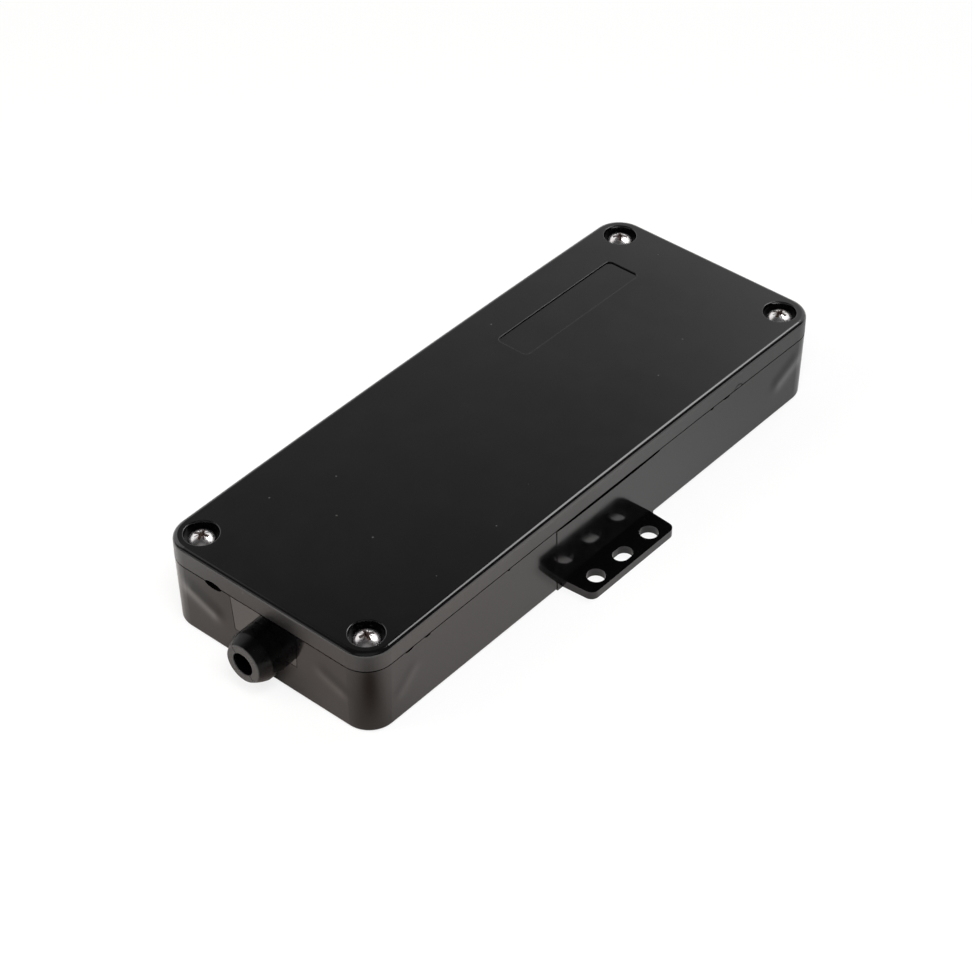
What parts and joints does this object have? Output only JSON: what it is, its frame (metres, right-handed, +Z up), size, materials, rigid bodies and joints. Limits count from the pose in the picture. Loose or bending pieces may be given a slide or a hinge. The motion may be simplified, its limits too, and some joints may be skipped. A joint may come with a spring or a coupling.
{
  "type": "fiber optic splice closure",
  "caption": "Flat black moulded splice closure: screwed lid, rubber cable gland at each end, perforated mounting tabs, splice tray inside.",
  "frame": {"origin": "on the surface it stands on, under the middle of the box", "axes": "+X along the box from the near gland to the far gland, +Y across it, +Z up through the lid"},
  "size_m": [0.2064, 0.093, 0.0289],
  "materials": {
    "housing": "satin black moulding",
    "bridge": "black moulding",
    "gland": "black rubber",
    "seal": "soft dark grey",
    "lid_screws": "bright zinc plate",
    "small_screws": "zinc plate",
    "inserts": "turned",
    "clamp": "black moulding",
    "tray": "white moulding",
    "comb": "soft black",
    "cover": "clear moulding"
  },
  "bodies": {
    "base": {"base_shell": "housing", "screw_inserts": "inserts", "entry_bridge_near": "bridge", "entry_bridge_far": "bridge", "gland_near_upper": "gland", "gland_near_lower": "gland", "gland_far_upper": "gland", "gland_far_lower": "gland", "cable_clamp_near": "clamp", "cable_clamp_far": "clamp", "clamp_screws_near": "small_screws", "clamp_screws_far": "small_screws", "anchor_washers": "small_screws", "anchor_screws": "small_screws", "splice_tray": "tray", "splice_comb": "comb", "tray_cover": "cover", "tray_screws": "small_screws"},
    "lid": {"lid": "housing", "lid_gasket": "seal"},
    "screw_near_left": {"lid_screw_near_left": "lid_screws"},
    "screw_near_right": {"lid_screw_near_right": "lid_screws"},
    "screw_far_left": {"lid_screw_far_left": "lid_screws"},
    "screw_far_right": {"lid_screw_far_right": "lid_screws"}
  },
  "joints": [
    {"name": "lid_lift", "type": "slide", "parent": "base", "child": "lid", "axis": [0, 0, 1], "range_m": [0, 0.06]},
    {"name": "screw_turn_near_left", "type": "hinge", "parent": "lid", "child": "screw_near_left", "pos_m": [-0.0872, 0.0292, 0.0248], "axis": [0, 0, 1], "continuous": true},
    {"name": "screw_turn_near_right", "type": "hinge", "parent": "lid", "child": "screw_near_right", "pos_m": [-0.0872, -0.0292, 0.0248], "axis": [0, 0, 1], "continuous": true},
    {"name": "screw_turn_far_left", "type": "hinge", "parent": "lid", "child": "screw_far_left", "pos_m": [0.0872, 0.0292, 0.0248], "axis": [0, 0, 1], "continuous": true},
    {"name": "screw_turn_far_right", "type": "hinge", "parent": "lid", "child": "screw_far_right", "pos_m": [0.0872, -0.0292, 0.0248], "axis": [0, 0, 1], "continuous": true}
  ]
}
